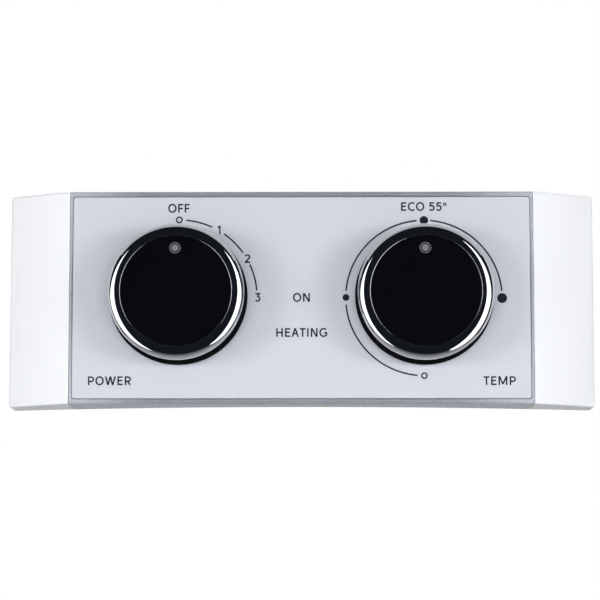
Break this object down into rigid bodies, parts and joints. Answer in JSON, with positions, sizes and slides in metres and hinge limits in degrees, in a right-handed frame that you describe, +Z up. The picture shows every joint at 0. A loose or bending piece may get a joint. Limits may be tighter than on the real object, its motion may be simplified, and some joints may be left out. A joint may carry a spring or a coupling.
{
  "type": "water heater control panel",
  "caption": "Control panel of an electric storage water heater with a power knob, a temperature knob and lit legends",
  "frame": {"origin": "middle of the four fixing bosses behind the panel, in the plane of their ends", "axes": "+X to the right seen from the front, +Y into the heater, +Z up"},
  "size_m": [0.207, 0.0579, 0.0758],
  "materials": {
    "silver_paint": "metallic silver paint on moulded ABS",
    "white_abs": "semi-gloss moulded white ABS",
    "printed_plate": "satin printed sheet with dark legends",
    "adhesive_film": "double sided adhesive film",
    "white_inner": "matt white moulding",
    "clear_acrylic": "polished clear acrylic, milky at the face",
    "circuit_board": "glass epoxy board with green solder mask",
    "lamp_body": "white lamp package with pale resin",
    "resistor_body": "chip resistor",
    "tinned_brass": "tin plated brass",
    "bare_brass": "drawn brass",
    "zinc_steel": "galvanised steel sheet",
    "screw_steel": "zinc plated screw",
    "spring_steel": "blank spring steel",
    "seal_rubber": "moulded EPDM rubber",
    "black_phenolic": "moulded phenolic resin",
    "white_nylon": "moulded nylon",
    "steatite": "unglazed steatite",
    "gloss_black": "high gloss black moulding",
    "chrome_ring": "chromium plated ABS",
    "pointer_grey": "satin grey inlay"
  },
  "bodies": {
    "root": {"bezel": "silver_paint", "board_resistors": "resistor_body", "board_screws": "screw_steel", "board_terminals": "tinned_brass", "capillary_nipple": "bare_brass", "carrier_plate": "zinc_steel", "carrier_screws": "screw_steel", "earth_screw": "screw_steel", "earth_tab": "bare_brass", "end_cap_screws": "screw_steel", "front_plate": "printed_plate", "heating_light_guide": "clear_acrylic", "indicator_board": "circuit_board", "indicator_lamps": "lamp_body", "left_end_cap": "white_abs", "light_box": "white_inner", "on_light_guide": "clear_acrylic", "plate_adhesive": "adhesive_film", "power_shaft_seal": "seal_rubber", "right_end_cap": "white_abs", "switch_base": "black_phenolic", "switch_contacts": "bare_brass", "switch_cover": "black_phenolic", "switch_detent_roller": "spring_steel", "switch_detent_spring": "spring_steel", "switch_rivets": "bare_brass", "switch_screws": "screw_steel", "switch_terminals": "tinned_brass", "temp_shaft_seal": "seal_rubber", "thermostat_base": "steatite", "thermostat_capsule": "spring_steel", "thermostat_cover": "black_phenolic", "thermostat_frame": "zinc_steel", "thermostat_push_pin": "steatite", "thermostat_screws": "screw_steel", "thermostat_snap_leaf": "bare_brass", "thermostat_terminals": "tinned_brass"},
    "power_knob": {"power_grip_strip": "spring_steel", "power_knob_body": "gloss_black", "power_knob_cap": "gloss_black", "power_knob_ring": "chrome_ring", "power_pointer": "pointer_grey", "power_pointer_ring": "pointer_grey", "power_spindle": "screw_steel", "power_spindle_clip": "spring_steel", "switch_cam": "white_nylon"},
    "temp_knob": {"temp_grip_strip": "spring_steel", "temp_knob_body": "gloss_black", "temp_knob_cap": "gloss_black", "temp_knob_ring": "chrome_ring", "temp_pointer": "pointer_grey", "temp_pointer_ring": "pointer_grey", "temp_spindle": "screw_steel", "temp_spindle_clip": "spring_steel"}
  },
  "joints": [
    {"name": "power_turn", "type": "hinge", "parent": "root", "child": "power_knob", "pos_m": [-0.0428, -0.03, 0], "axis": [0, 1, 0], "range_deg": [0, 90]},
    {"name": "temp_turn", "type": "hinge", "parent": "root", "child": "temp_knob", "pos_m": [0.0428, -0.03, 0], "axis": [0, 1, 0], "range_deg": [-180, 90]}
  ]
}
